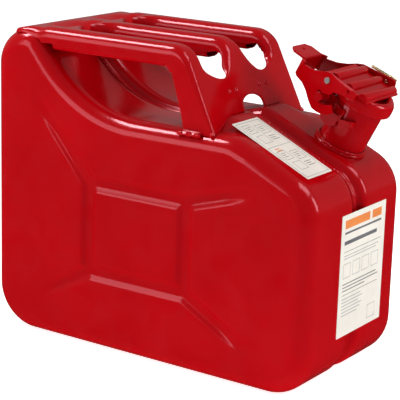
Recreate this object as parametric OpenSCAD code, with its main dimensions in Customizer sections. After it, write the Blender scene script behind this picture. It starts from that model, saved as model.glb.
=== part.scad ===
// Ten litre pressed-steel fuel can with three carrying bars and a cam-lever closure.
// X runs from the back of the can to the spout, Y across it, Z up; the origin is under the middle of the base.

/* [Body] */
// Length of the can, back to front
body_l = 345; // [330:1:360]
// Thickness of the can across the two pressed halves
body_w = 160; // [150:1:170]
// Radius of the rolled edge round each side
edge_r = 15; // [12:1:17]
// Radius of the bottom corners
corner_r = 42; // [36:1:48]
// Thickness of the body sheet
sheet = 1; // [0.8:0.1:1.2]

/* [Seam and embossing] */
// Depth of the channel that holds the seam
seam_depth = 7; // [5:0.5:8]
// Depth of the embossed cross on the sides
emboss_depth = 2.5; // [1.5:0.5:3]
// Width of the embossed channels
emboss_w = 12; // [10:1:14]

/* [Handles] */
// Distance from one carrying bar to the next
bar_pitch = 64; // [60:1:65]
// Width of each carrying bar
bar_w = 22; // [20:1:24]
// Depth of each carrying bar
bar_h = 20; // [18:1:22]
// Thickness of the handle pressing
handle_sheet = 1.6; // [1.2:0.1:2]

/* [Closure] */
// Size of the neck and closure against the dimensions below
closure_scale = 1.034; // [1:0.002:1.036]
// Outer radius of the filler neck before scaling
neck_r = 20.5; // [20:0.1:20.8]
// Inner radius of the filler neck before scaling
neck_bore_r = 18.3; // [17.5:0.1:18.6]
// Forward lean of the filler neck in degrees
neck_tilt = 27; // [26:0.5:28]
// Opening angle of the cap, closed = 0
cap_open = 0; // [0:1:58]
// Opening angle of the lever on the cap, closed = 0
lever_open = 0; // [0:1:52]

/* [Hidden] */
$fn = 48;
half_l = body_l / 2;
half_w = body_w / 2;
// The sloped front deck, as a height at x = 64 and a fall per millimetre
deck_z = 231.5;
deck_fall = 0.459;
deck_angle = atan(deck_fall);
top_z = 286;
shelf_z = 218.5;
bar_top = 290;
bar_y = [-bar_pitch, 0, bar_pitch];
// The sloped front web of the handle pressing
web_x = 65;
web_z = 226;
web_lean = 0.48;
web_angle = atan(web_lean);
bend_r = 24;
bend_x = 19.2;
// Origin of the neck's own frame, on its axis below the deck
neck_at = [121.3, 38, 185.5];
mouth_u = 63;
// Where the spout's socket ends inside the neck, and the step below it
socket_u = 26;
socket_step = 0.6;
// Hinge of the cap and pivot of the lever, in the neck's own frame
hinge_at = [-26, 54];
pivot_at = [-26, 70];

function unit(v) = v / norm(v);
function cross2(a, b) = a[0] * b[1] - a[1] * b[0];
// Points of the arc that rounds the corner p1 of the path p0, p1, p2
function fillet(p0, p1, p2, r, n) =
    let (
        a = unit(p1 - p0),
        b = unit(p2 - p1),
        s = sign(cross2(a, b)),
        turn = acos(a * b),
        start = p1 - a * r * tan(turn / 2),
        c = start + s * r * [-a[1], a[0]],
        v = start - c
    )
    [for (i = [0:n]) let (q = s * turn * i / n)
        c + [v[0] * cos(q) - v[1] * sin(q), v[0] * sin(q) + v[1] * cos(q)]];
function deck(x) = deck_z - deck_fall * (x - 64);
// Foot of the neck's axis on the deck
foot_s = (deck(neck_at[0]) - neck_at[2]) / (cos(neck_tilt) + deck_fall * sin(neck_tilt));
neck_foot = neck_at + foot_s * [sin(neck_tilt), 0, cos(neck_tilt)];

// The top line from the front deck back to the handle recess: x, height in the middle, height at the sides
top_line = [
    [135, deck(135), deck(135)], [120, deck(120), deck(120)], [106, deck(106), deck(106) - 0.2],
    [96, deck(96), 216], [88, deck(88), 218.1], [80, 224.1, 218.6], [72, 227.4, 218.7],
    [66, 229.2, 218.7], [60, 228.6, 218.7], [50, 226, 218.6], [35, 221.8, 218.6],
    [20, 219, 218.5], [5, shelf_z, shelf_z]
];
// Outline of the can in side view, counter-clockwise; side = 0 in the middle and 1 at the rolled edge
function outline(side) =
    let (
        low_back = [-half_l, 0],
        low_front = [half_l, 0],
        high_front = [half_l, deck(half_l)],
        recess = [-71, shelf_z],
        crest = [-127.6, top_z],
        high_back = [-half_l, top_z],
        top = [for (t = top_line) [t[0], t[1] * (1 - side) + t[2] * side]]
    )
    concat(
        fillet(high_back, low_back, low_front, corner_r, 7),
        fillet(low_back, low_front, high_front, corner_r, 7),
        fillet(low_front, high_front, top[0], 38, 6),
        top,
        fillet(top[12], recess, crest, 120, 7),
        fillet(recess, crest, high_back, 20, 5),
        fillet(crest, high_back, low_back, 34, 7)
    );
// The outline moved inwards by d
function inset(p, d) =
    let (n = len(p))
    [for (i = [0:n - 1])
        let (
            e1 = unit(p[i] - p[(i + n - 1) % n]),
            e2 = unit(p[(i + 1) % n] - p[i]),
            n1 = [e1[1], -e1[0]],
            n2 = [e2[1], -e2[0]]
        )
        p[i] - (n1 + n2) * d / (1 + n1 * n2)];

// Sections of the pressed half from the seam to the side: distance from the seam, inset, side
outer_rings = concat(
    [[0, seam_depth, 0], [7.5, seam_depth, 0], [9.4, seam_depth * 0.8, 0], [10.6, seam_depth * 0.23, 0],
     [13, 0, 0], [42, 0, 0], [54, 0, 0.5], [half_w - edge_r, 0, 1]],
    [for (a = [18:18:90]) [half_w - edge_r + edge_r * sin(a), edge_r * (1 - cos(a)), 1]]
);
inner_r = edge_r - sheet;
inner_rings = concat(
    [[0, seam_depth + sheet, 0], [8.2, seam_depth + sheet, 0], [10.6, seam_depth, 0],
     [12, seam_depth * 0.23 + 0.6, 0], [14, sheet, 0], [42, sheet, 0], [54, sheet, 0.5],
     [half_w - edge_r, sheet, 1]],
    [for (a = [30:30:90]) [half_w - edge_r + inner_r * sin(a), sheet + inner_r * (1 - cos(a)), 1]]
);
function ring_points(r) = [for (q = inset(outline(r[2]), r[1])) [q[0], -r[0], q[1]]];

// One thin-walled pressed half, on the -Y side
module pressed_half() {
    n = len(outline(0));
    no = len(outer_rings);
    ni = len(inner_rings);
    base = no * n;
    outer = [for (r = outer_rings) each ring_points(r)];
    inner = [for (r = inner_rings) each ring_points(r)];
    skin = [for (k = [0:no - 2], i = [0:n - 1]) let (j = (i + 1) % n)
        each [[k * n + i, (k + 1) * n + i, (k + 1) * n + j], [k * n + i, (k + 1) * n + j, k * n + j]]];
    lining = [for (k = [0:ni - 2], i = [0:n - 1]) let (j = (i + 1) % n, a = base + k * n, b = a + n)
        each [[a + i, b + j, b + i], [a + i, a + j, b + j]]];
    rim = [for (i = [0:n - 1]) let (j = (i + 1) % n)
        each [[i, j, base + j], [i, base + j, base + i]]];
    side = [[for (i = [n - 1:-1:0]) (no - 1) * n + i]];
    back = [[for (i = [0:n - 1]) base + (ni - 1) * n + i]];
    polyhedron(points = concat(outer, inner), faces = concat(skin, lining, rim, side, back), convexity = 8);
}

// Plan of the embossed cross in x and z; grow widens it on every side
module cross_plan(grow) {
    w = emboss_w + 2 * grow;
    difference() {
        translate([-66.5 - grow, 67.5 - grow])
            square([119.5 + 2 * grow, 96.5 + 2 * grow]);
        translate([-54.5 + grow, 79 + grow])
            square([92 - 2 * grow, 70.5 - 2 * grow]);
    }
    for (arm = [[-61, 158, -121, 225], [-61, 73, -117, 41], [47, 73, 111, 36], [47, 158, 109, 175]]) {
        dx = arm[2] - arm[0];
        dz = arm[3] - arm[1];
        l = norm([dx, dz]);
        translate([arm[0], arm[1]])
            rotate(atan2(dz, dx))
                polygon([
                    [0, -w / 2], [l, -w / 2], [l + w * 0.4, -w * 0.2],
                    [l + w * 0.4, w * 0.2], [l, w / 2], [0, w / 2]
                ]);
    }
}

// Stands a plan drawn in x and z up at y = from, thickness t towards -Y
module on_side(from, t) {
    translate([0, from, 0])
        rotate([90, 0, 0])
            linear_extrude(height = t)
                children();
}

module neck_frame() {
    translate(neck_at)
        rotate([0, neck_tilt, 0])
            scale(closure_scale)
                children();
}

module half_body() {
    difference() {
        union() {
            pressed_half();
            on_side(-half_w + emboss_depth + sheet + 0.2, emboss_depth + 0.4)
                cross_plan(1.4);
        }
        on_side(-half_w + emboss_depth, emboss_depth + 1)
            cross_plan(0);
    }
}

module left_shell() {
    color("firebrick")
        difference() {
            mirror([0, 1, 0])
                half_body();
            neck_frame()
                translate([0, 0, 4])
                    cylinder(r = neck_r + 0.1, h = 26);
        }
}

module right_shell() {
    color("firebrick")
        half_body();
}

// Weld bead along the floor of the seam channel
module seam_weld() {
    line = outline(0);
    color("firebrick")
        translate([0, 2, 0])
            rotate([90, 0, 0])
                linear_extrude(height = 4)
                    difference() {
                        polygon(inset(line, seam_depth - 1.4));
                        polygon(inset(line, seam_depth));
                    }
}

// Section of a carrying bar about its centre, with rounded shoulders
function bar_outline(w, h, r) = concat(
    [[-w / 2, -h / 2], [w / 2, -h / 2]],
    [for (a = [0:15:90]) [w / 2 - r + r * cos(a), h / 2 - r + r * sin(a)]],
    [for (a = [90:15:180]) [-w / 2 + r + r * cos(a), h / 2 - r + r * sin(a)]]
);

// The bar as an inverted channel: its top is as thick as roof, and lap makes the sheet thicker on both faces
module bar_channel(roof, lap) {
    difference() {
        polygon(bar_outline(bar_w + 2 * lap, bar_h + 2 * lap, 9));
        translate([0, -roof - lap])
            polygon(bar_outline(bar_w - 2 * handle_sheet - 2 * lap, bar_h, 7.4));
    }
}

// One bar: rear end running into the crest, straight grip, front bend and a short tail down the web
module carrying_bar() {
    mid = bar_top - bar_h / 2;
    lap = 0.1;
    translate([-138, 0, mid])
        rotate([90, 0, 90])
            linear_extrude(height = 28)
                bar_channel(4, lap);
    translate([-111, 0, mid])
        rotate([90, 0, 90])
            linear_extrude(height = bend_x + 111.5)
                bar_channel(handle_sheet, 0);
    translate([bend_x, 0, bar_top - bend_r]) {
        rotate([90, 0, 0])
            mirror([0, 0, 1])
                rotate([0, 0, web_angle])
                    rotate_extrude(angle = 90 - web_angle)
                        translate([bend_r - bar_h / 2, 0])
                            rotate(-90)
                                bar_channel(handle_sheet, lap);
        rotate([0, 90 - web_angle, 0])
            translate([-0.4, 0, bend_r - bar_h / 2])
                rotate([90, 0, 90])
                    linear_extrude(height = 5.4)
                        bar_channel(handle_sheet, 2 * lap);
    }
}

// Plan of the sloped web: y across, distance up the slope from the foot line
module web_plan() {
    difference() {
        translate([-75, -9])
            square([150, 66]);
        for (s = [-1, 1])
            translate([s * 34, 0]) {
                translate([0, 45])
                    circle(r = 13);
                translate([-12.6, 45])
                    square([25.2, 14]);
                translate([s * 5, 52])
                    square([36, 12], center = true);
            }
        translate([0, 1])
            circle(r = 16);
        translate([-15.6, -12])
            square([31.2, 13]);
    }
}

module web_frame() {
    translate([web_x, 0, web_z])
        rotate([0, -web_angle, 0])
            children();
}

// A plan in x and z given thickness right across the can, w each way from the middle
module across(w) {
    translate([0, w, 0])
        rotate([90, 0, 0])
            linear_extrude(height = 2 * w)
                children();
}

// Sheet that lies on the crest of the can and ties the rear ends of the bars together
module rear_saddle() {
    line = outline(0);
    intersection() {
        across(72)
            difference() {
                polygon(inset(line, -0.05 - handle_sheet));
                polygon(inset(line, -0.05));
            }
        translate([-150, 0, 262])
            linear_extrude(height = 40)
                polygon([[0, -60], [12, -72], [44, -72], [44, 72], [12, 72], [0, 60]]);
    }
}

// Pressed handle: three bars, the sloped front web with its legs, and the rear saddle
module handle_frame() {
    t = handle_sheet;
    leg_sheet = 2.2;
    color("firebrick") {
        difference() {
            for (y = bar_y)
                translate([0, y, 0])
                    carrying_bar();
            across(80)
                polygon(inset(outline(0), -0.5));
            across(80)
                polygon([[-140, 288.4], [-112, bar_top + 0.01], [-112, 300], [-140, 300]]);
        }
        rear_saddle();
        difference() {
            web_frame()
                rotate([90, 0, -90])
                    mirror([1, 0, 0])
                        linear_extrude(height = t)
                            web_plan();
            translate([50, 0, 0])
                rotate([90, 0, 90])
                    linear_extrude(height = 30)
                        polygon([
                            [-66, 219.2], [-54, 224.7], [-42, 229.5], [42, 229.5], [54, 224.7], [66, 219.2],
                            [76, 217.4], [76, 200], [-76, 200], [-76, 217.4]
                        ]);
        }
        for (s = [-1, 1]) {
            translate([0, s * (bar_pitch + bar_w / 2 - t / 2) + leg_sheet / 2, 0])
                rotate([90, 0, 0])
                    linear_extrude(height = leg_sheet)
                        polygon([
                            [22.2, 272], [23, 266], [33, 224], [33, 216.4], [69, 216.4], [65, web_z],
                            [41, 276], [30, 276]
                        ]);
            translate([33, 0, 0])
                mirror([0, s > 0 ? 0 : 1, 0])
                    rotate([90, 0, 90])
                        linear_extrude(height = 24)
                            polygon([[73.6, 218.4], [79, 215.2], [79, 216.8], [73.6, 220.2]]);
        }
    }
}

// Strips that close the underside of the three bars
module handle_grip_strips() {
    t = handle_sheet;
    color("firebrick")
        for (y = bar_y)
            translate([-108, y - bar_w / 2 + t + 0.02, bar_top - bar_h])
                cube([124, bar_w - 2 * t - 0.04, t]);
}

// Spot welds that hold the handle pressing
module handle_spot_welds() {
    color("firebrick") {
        for (y = [-34, 34])
            translate([-138, y, top_z + 0.05 + handle_sheet])
                cylinder(r = 3, h = 0.5);
        web_frame()
            for (y = [-30, -19, 19, 30])
                translate([0, y, 24])
                    rotate([0, 90, 0])
                        cylinder(r = 1.8, h = 0.6);
    }
}

// Short weld beads at the feet of the outer legs
module handle_foot_welds() {
    color("firebrick")
        for (s = [-1, 1], x = [35, 45, 55])
            translate([x, s * 76.55, 219.85])
                rotate([0, 90, 0])
                    cylinder(r = 1.2, h = 4, center = true);
}

module filler_neck() {
    color("firebrick")
        neck_frame()
            union() {
                difference() {
                    translate([0, 0, 7])
                        cylinder(r = neck_r, h = mouth_u - 9);
                    translate([0, 0, socket_u])
                        cylinder(r = neck_bore_r, h = mouth_u);
                    translate([0, 0, 6])
                        cylinder(r = neck_bore_r - socket_step, h = socket_u - 5);
                }
                rotate_extrude()
                    translate([neck_bore_r + 2.1, mouth_u - 2.1])
                        circle(r = 2.1);
            }
}

// Flange that the neck is welded through, lying on the deck
module neck_flange() {
    color("firebrick")
        difference() {
            translate(neck_foot)
                rotate([0, deck_angle, 0])
                    translate([0, 0, 0.05])
                        cylinder(r = 24.5, h = 2.4);
            neck_frame()
                translate([0, 0, 4])
                    cylinder(r = neck_r, h = 26);
        }
}

module neck_weld() {
    color("firebrick")
        translate(neck_foot)
            rotate([0, deck_angle, 0])
                translate([0.15, 0, 3.8])
                    rotate_extrude()
                        translate([neck_r * closure_scale + 1.65, 0])
                            circle(r = 1.3);
}

// Air pipe from inside the neck back into the space under the handles
module breather_tube() {
    color("silver")
        neck_frame()
            translate([-14.2, 0, 0]) {
                translate([0, 0, -4])
                    pipe(26);
                translate([-9, 0, -4])
                    rotate([-90, 0, 0])
                        rotate_extrude(angle = 90)
                            translate([9, 0])
                                pipe_section();
                translate([-9, 0, -13])
                    rotate([0, -90, 0])
                        pipe(60);
            }
}

module pipe_section() {
    difference() {
        circle(r = 3.4);
        circle(r = 2.4);
    }
}

module pipe(length) {
    linear_extrude(height = length)
        pipe_section();
}

// Strap round the back of the neck with the two ears that carry the hinge pin and a stop plate on each side
module hinge_bracket() {
    color("firebrick")
        neck_frame()
            difference() {
                union() {
                    intersection() {
                        translate([0, 0, 42])
                            cylinder(r = neck_r + 2.4, h = 12);
                        translate([-40, -30, 40])
                            cube([38, 60, 20]);
                    }
                    for (s = [-1, 1])
                        translate([0, s * 21.7 + 1.1, 0])
                            rotate([90, 0, 0])
                                linear_extrude(height = 2.2)
                                    polygon([[-23, 42.6], [-18, 47], [-4, 47], [-4, 37], [-11.6, 33], [-18.6, 35.5]]);
                    for (s = [-1, 1])
                        translate([0, s * 15.25 + 1.25, 0])
                            rotate([90, 0, 0])
                                linear_extrude(height = 2.5) {
                                    polygon([[-12, 42], [-12, 54], [-24, 59], [-31, 56], [-31, 51], [-24, 44]]);
                                    translate(hinge_at)
                                        circle(r = 5.5);
                                }
                    translate([-32, -14, 42])
                        cube([14, 28, 2.4]);
                }
                translate([0, 0, 30])
                    cylinder(r = neck_r, h = 40);
                translate([hinge_at[0], 30, hinge_at[1]])
                    rotate([90, 0, 0])
                        cylinder(r = 3, h = 60);
            }
}

// Blocks welded to the sides of the neck
module neck_side_lugs() {
    color("firebrick")
        neck_frame()
            difference() {
                for (s = [-1, 1])
                    translate([0, s * 21 + 4, 0])
                        rotate([90, 0, 0])
                            linear_extrude(height = 8)
                                polygon([[-0.9, 40], [-1.6, 46.4], [9.4, 50.6], [11, 46]]);
                translate([0, 0, 30])
                    cylinder(r = neck_r, h = 40);
            }
}

// Hinge pin with thick ends that the lever's hooks close round
module hinge_pin() {
    color("firebrick")
        neck_frame()
            translate([hinge_at[0], 0, hinge_at[1]])
                rotate([90, 0, 0]) {
                    cylinder(r = 3, h = 54, center = true);
                    for (s = [-1, 1])
                        translate([0, 0, s * 29.75])
                            cylinder(r = 4, h = 5.5, center = true);
                }
}

// Turns the cap and everything on it about the hinge pin
module cap_frame() {
    neck_frame()
        translate([hinge_at[0], 0, hinge_at[1]])
            rotate([0, -cap_open, 0])
                translate([-hinge_at[0], 0, -hinge_at[1]])
                    children();
}

// Turns the lever about its own pin in the cap
module lever_frame() {
    cap_frame()
        translate([pivot_at[0], 0, pivot_at[1]])
            rotate([0, lever_open, 0])
                translate([-pivot_at[0], 0, -pivot_at[1]])
                    children();
}

module cap_dish() {
    color("firebrick")
        cap_frame()
            rotate_extrude()
                polygon([
                    [3, 67.6], [16, 67.6], [18, 72.4], [22, 72.4], [25.5, 67.5], [25.5, 60.5],
                    [24.1, 60.5], [24.1, 66.8], [21.4, 70.9], [19.2, 70.9], [17.2, 66], [3, 66]
                ]);
}

// Ridged bridge across the cap, with the ears that hang on the hinge pin and carry the lever
module cap_carrier() {
    color("firebrick")
        cap_frame()
            difference() {
                union() {
                    translate([-27, 0, 72.5])
                        linear_extrude(height = 1.8)
                            polygon([[-5, -25], [41, -27], [41, 27], [-5, 25]]);
                    intersection() {
                        for (v = [-23, -7.5, 8])
                            translate([v, 0, 73.4])
                                rotate([90, 0, 0])
                                    cylinder(r = 4.6, h = 60, center = true);
                        translate([-27, 0, 72.5])
                            linear_extrude(height = 8)
                                polygon([[-5, -25], [41, -27], [41, 27], [-5, 25]]);
                    }
                    for (s = [-1, 1])
                        translate([0, s * 24 + 1, 0])
                            rotate([90, 0, 0])
                                linear_extrude(height = 2) {
                                    polygon([[-32, 54], [-32, 74], [-18, 74], [-20, 66], [-20, 54]]);
                                    translate(hinge_at)
                                        circle(r = 6);
                                }
                }
                translate([hinge_at[0], 40, hinge_at[1]])
                    rotate([90, 0, 0])
                        cylinder(r = 3.06, h = 80);
                translate([pivot_at[0], 40, pivot_at[1]])
                    rotate([90, 0, 0])
                        cylinder(r = 2.66, h = 80);
            }
}

module cap_gasket() {
    color("black")
        cap_frame()
            translate([0, 0, mouth_u + 0.3])
                difference() {
                    cylinder(r = 23.6, h = 3.3);
                    translate([0, 0, -1])
                        cylinder(r = 19.1, h = 6);
                }
}

module gasket_retainer() {
    color("silver")
        cap_frame()
            translate([0, 0, 64.9])
                difference() {
                    cylinder(r = 19, h = 1.05);
                    translate([0, 0, -1])
                        cylinder(r = 3, h = 4);
                }
}

module cap_rivet() {
    color("silver")
        cap_frame() {
            translate([0, 0, 64])
                cylinder(r = 3, h = 4.6);
            translate([0, 0, 63.9])
                cylinder(r = 5, h = 0.95);
        }
}

// Side view of a lever cheek, with its hook open towards the front
module cheek_plan() {
    difference() {
        polygon([
            [-60, 52.5], [-60, 66], [-56, 64.6], [-47, 66.4], [-39, 70], [-32, 74.6], [-27, 76.8], [2, 79.2],
            [4.5, 77.5], [5.2, 74], [3.4, 71], [0, 70.2], [-8, 68.5], [-15, 65], [-15, 57.4], [-11.6, 55.6],
            [-6.6, 51], [-9.6, 46.6], [-15.6, 42.9], [-22, 41.2], [-28, 40.9], [-34, 43.6], [-42, 48.6],
            [-49, 51.2], [-57, 51.6]
        ]);
        difference() {
            intersection() {
                translate(pivot_at)
                    circle(r = 20.4);
                polygon([[-33, 50], [-33, 40], [0, 40], [0, 68], [-14, 66], [-27, 62.6]]);
            }
            translate(pivot_at)
                circle(r = 11.6);
        }
        translate([-3.4, 74.6])
            circle(r = 1.6);
    }
}

// Top view of the yoke: a narrow back wall and two cheeks that spread towards the front
module yoke_plan() {
    t = 1.8;
    difference() {
        polygon([[-61, -16.5], [-58, -19], [-26, -29.5], [8, -37], [8, 37], [-26, 29.5], [-58, 19], [-61, 16.5]]);
        polygon([
            [-59.2, -15.8], [-57.4, -17.2], [-26, -27.7], [10, -35.6], [10, 35.6], [-26, 27.7], [-57.4, 17.2],
            [-59.2, 15.8]
        ]);
    }
}

// Yoke-shaped locking lever with its thumb tab
module lever() {
    color("firebrick")
        lever_frame()
            difference() {
                union() {
                    intersection() {
                        translate([0, 0, 35])
                            linear_extrude(height = 60)
                                yoke_plan();
                        translate([0, 50, 0])
                            rotate([90, 0, 0])
                                linear_extrude(height = 100)
                                    union() {
                                        cheek_plan();
                                        translate([-62, 52.5])
                                            square([6, 14.5]);
                                    }
                    }
                    difference() {
                        translate([-77, -14.5, 65.9])
                            cube([17, 29, 1.8]);
                        for (s = [-1, 1])
                            translate([-77, s * 14.5, 60])
                                rotate([0, 0, 45])
                                    cube([7, 7, 20], center = true);
                    }
                }
                translate([pivot_at[0], 50, pivot_at[1]])
                    rotate([90, 0, 0])
                        cylinder(r = 2.6, h = 100);
                translate([-71, 0, 67])
                    cylinder(r = 1.6, h = 5);
            }
}

// Pivot pin in two short lengths, each through an ear and a cheek, with its end showing outside
module lever_pin() {
    color("silver")
        lever_frame()
            for (s = [-1, 1])
                translate([pivot_at[0], s * 25.75, pivot_at[1]])
                    rotate([90, 0, 0])
                        cylinder(r = 2.6, h = 10, center = true);
}

// Spacers on the pivot pin between the bridge and the cheeks
module lever_spacers() {
    color("silver")
        lever_frame()
            for (s = [-1, 1])
                translate([pivot_at[0], s * 25.98, pivot_at[1]])
                    rotate([90, 0, 0])
                        difference() {
                            cylinder(r = 3.4, h = 1, center = true);
                            cylinder(r = 2.6, h = 6, center = true);
                        }
}

// Plated wire pin in the far cheek, with its leg lying along the cheek's top edge
module safety_pin() {
    color("gold")
        lever_frame() {
            translate([-3.4, 31.4, 74.6])
                rotate([-90, 0, 0])
                    cylinder(r = 1.3, h = 7.4);
            translate([-3.4, 38.8, 74.6])
                sphere(r = 1.3);
            translate([-3.4, 38.8, 74.6])
                cylinder(r = 1.3, h = 3.6);
            translate([-3.4, 38.8, 78.2])
                sphere(r = 1.3);
            translate([-22, 35, 77.6])
                rotate([0, 90, 12])
                    cylinder(r = 1.3, h = 25);
        }
}

// Paper label across the front face
module front_label() {
    color("ivory")
        translate([half_l, -30, 46])
            cube([0.25, 78.5, 110]);
}

// Paper label on the near half of the deck
module deck_label() {
    color("ivory")
        translate([76, -58, deck(76)])
            rotate([0, deck_angle, 0])
                cube([85, 40.5, 0.25]);
}

left_shell();
right_shell();
seam_weld();
handle_frame();
handle_grip_strips();
handle_spot_welds();
handle_foot_welds();
filler_neck();
neck_flange();
neck_weld();
breather_tube();
hinge_bracket();
neck_side_lugs();
hinge_pin();
cap_dish();
cap_carrier();
cap_gasket();
gasket_retainer();
cap_rivet();
lever();
lever_pin();
lever_spacers();
safety_pin();
front_label();
deck_label();
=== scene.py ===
"""Looks of the pressed-steel fuel can: shells, handle, neck, closure, labels, studio."""
import math

import bmesh
import bpy
from mathutils import Matrix, Vector, noise


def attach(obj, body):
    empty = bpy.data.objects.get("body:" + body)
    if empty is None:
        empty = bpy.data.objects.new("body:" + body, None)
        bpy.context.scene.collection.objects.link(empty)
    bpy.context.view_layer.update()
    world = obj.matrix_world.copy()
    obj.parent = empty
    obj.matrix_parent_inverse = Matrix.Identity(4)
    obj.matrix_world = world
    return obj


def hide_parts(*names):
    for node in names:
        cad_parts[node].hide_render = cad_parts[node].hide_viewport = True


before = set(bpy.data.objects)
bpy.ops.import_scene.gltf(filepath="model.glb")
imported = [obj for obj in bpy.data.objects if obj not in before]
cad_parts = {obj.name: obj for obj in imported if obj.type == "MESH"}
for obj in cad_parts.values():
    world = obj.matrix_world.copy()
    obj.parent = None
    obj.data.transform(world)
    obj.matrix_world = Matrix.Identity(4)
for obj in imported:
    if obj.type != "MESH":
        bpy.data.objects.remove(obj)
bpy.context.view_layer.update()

MM = 0.001
# Body, in millimetres, as in the CAD source
HALF_L, HALF_W = 172.5, 80.0
EDGE_R, CORNER_R = 15.0, 42.0
SEAM_DEPTH = 7.0
GROOVE_DEPTH, GROOVE_W = 2.7, 12.0
TOP_Z, SHELF_Z = 286.0, 218.5
DECK_Z, DECK_FALL = 231.5, 0.459
# Handle
BAR_TOP, BAR_PITCH = 290.0, 64.0
SHEET = 1.6
BEND_X, BEND_R = 19.2, 24.0
WEB_X, WEB_Z, WEB_LEAN = 65.0, 226.0, 0.48
WEB_ANGLE = math.atan(WEB_LEAN)
# Neck frame: V runs forwards and down, U along the neck
NECK_AT = Vector((121.3, 38.0, 185.5))
NECK_TILT = math.radians(27)
CLOSURE_SCALE = 1.034
NECK_R, NECK_BORE_R, MOUTH_U = 20.5, 18.3, 63.0
# Corners of the carried CAD pieces are rounded where they turn by more than this, in degrees
CARRIED_BEVEL_ANGLE = 32


# ---------------------------------------------------------------- small maths

def mix(a, b, t):
    return a + (b - a) * t


def smooth(t):
    t = min(1.0, max(0.0, t))
    return t * t * (3 - 2 * t)


def along(points, t):
    """Value at t on a cubic curve through (t, value) points."""
    if t <= points[0][0]:
        return points[0][1]
    last = len(points) - 1

    def slope(i):
        a, b = points[max(i - 1, 0)], points[min(i + 1, last)]
        return (b[1] - a[1]) / (b[0] - a[0])

    for i in range(last):
        (t0, v0), (t1, v1) = points[i], points[i + 1]
        if t <= t1:
            w, k = t1 - t0, (t - t0) / (t1 - t0)
            rise = (2 * k ** 3 - 3 * k ** 2 + 1) * v0 + (3 * k ** 2 - 2 * k ** 3) * v1
            return rise + w * ((k ** 3 - 2 * k ** 2 + k) * slope(i) + (k ** 3 - k ** 2) * slope(i + 1))
    return points[-1][1]


def neck_point(v, y, u):
    s, c = math.sin(NECK_TILT), math.cos(NECK_TILT)
    return NECK_AT + Vector((v * c + u * s, y, u * c - v * s)) * CLOSURE_SCALE


def deck(x):
    return DECK_Z - DECK_FALL * (x - 64)


# ---------------------------------------------------------------- mesh helpers

def piece(name, verts, faces, material, body, replaces=(), smooth_angle=35):
    """A mesh from points in millimetres, riding on a CAD body and standing for CAD nodes."""
    mesh = bpy.data.meshes.new(name)
    mesh.from_pydata([tuple(c * MM for c in v) for v in verts], [], faces)
    return dress(name, mesh, material, body, replaces, smooth_angle)


def dress(name, mesh, material, body, replaces=(), smooth_angle=35):
    mesh.validate()
    mesh.shade_smooth()
    mesh.set_sharp_from_angle(angle=math.radians(smooth_angle))
    obj = bpy.data.objects.new(name, mesh)
    bpy.context.scene.collection.objects.link(obj)
    mesh.materials.append(material)
    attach(obj, body)
    if replaces:
        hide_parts(*replaces)
    return obj


def add_bevel(obj, width, segments, angle):
    bevel = obj.modifiers.new("edges", "BEVEL")
    bevel.width = width * MM
    bevel.segments = segments
    bevel.limit_method = "ANGLE"
    bevel.angle_limit = math.radians(angle)
    bevel.harden_normals = False
    return bevel


def add_thickness(obj, thick):
    solid = obj.modifiers.new("sheet", "SOLIDIFY")
    solid.thickness = thick * MM
    solid.offset = -1
    solid.use_even_offset = True
    return solid


def grid_faces(rows, cols, start=0, closed=False):
    """Quads of a rows by cols sheet of points; closed joins the last column to the first."""
    out = []
    for r in range(rows - 1):
        for c in range(cols if closed else cols - 1):
            a, b = start + r * cols + c, start + r * cols + (c + 1) % cols
            out.append((a, b, b + cols, a + cols))
    return out


def sweep(path, radius, sides=10):
    """Tube along a list of points; radius is a number or a function of the point's index and angle."""
    verts, faces = [], []
    n = len(path)
    normal = None
    for i, p in enumerate(path):
        tangent = (path[min(i + 1, n - 1)] - path[max(i - 1, 0)]).normalized()
        if normal is None:
            helper = Vector((0, 1, 0)) if abs(tangent.y) < 0.9 else Vector((1, 0, 0))
            normal = tangent.cross(helper).normalized()
        normal = (normal - tangent * normal.dot(tangent)).normalized()
        side = tangent.cross(normal)
        for k in range(sides):
            a = 2 * math.pi * k / sides
            r = radius(i, a) if callable(radius) else radius
            verts.append(p + (normal * math.cos(a) + side * math.sin(a)) * r)
    faces = [tuple(reversed(f)) for f in grid_faces(n, sides, 0, True)]
    faces.append(tuple(range(sides)))
    faces.append(tuple((n - 1) * sides + k for k in reversed(range(sides))))
    return verts, faces


def revolve(profile, place, steps=96, ripple=None):
    """Closed profile of (radius, height) turned about an axis; place maps (v, y, u) to a point."""
    verts = []
    for k in range(steps):
        a = 2 * math.pi * k / steps
        for r, h in profile:
            d = ripple(a, r, h) if ripple else 0.0
            verts.append(place((r + d) * math.cos(a), (r + d) * math.sin(a), h))
    n = len(profile)
    faces = []
    for k in range(steps):
        for i in range(n):
            a, b = k * n + i, k * n + (i + 1) % n
            c, d = ((k + 1) % steps) * n + (i + 1) % n, ((k + 1) % steps) * n + i
            faces.append((a, d, c, b))
    return verts, faces


def arc(cx, cy, r, a0, a1, n):
    """Points of an arc, angles in degrees."""
    turns = [math.radians(mix(a0, a1, i / n)) for i in range(n + 1)]
    return [(cx + r * math.cos(a), cy + r * math.sin(a)) for a in turns]


# ---------------------------------------------------------------- materials

def shader(name):
    material = bpy.data.materials.new(name)
    material.use_nodes = True
    return material, material.node_tree, material.node_tree.nodes["Principled BSDF"]


def noise_node(tree, scale, detail=3.0, rough=0.55):
    node = tree.nodes.new("ShaderNodeTexNoise")
    node.inputs["Scale"].default_value = scale
    node.inputs["Detail"].default_value = detail
    node.inputs["Roughness"].default_value = rough
    coords = tree.nodes.new("ShaderNodeTexCoord")
    tree.links.new(coords.outputs["Object"], node.inputs["Vector"])
    return node


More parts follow.
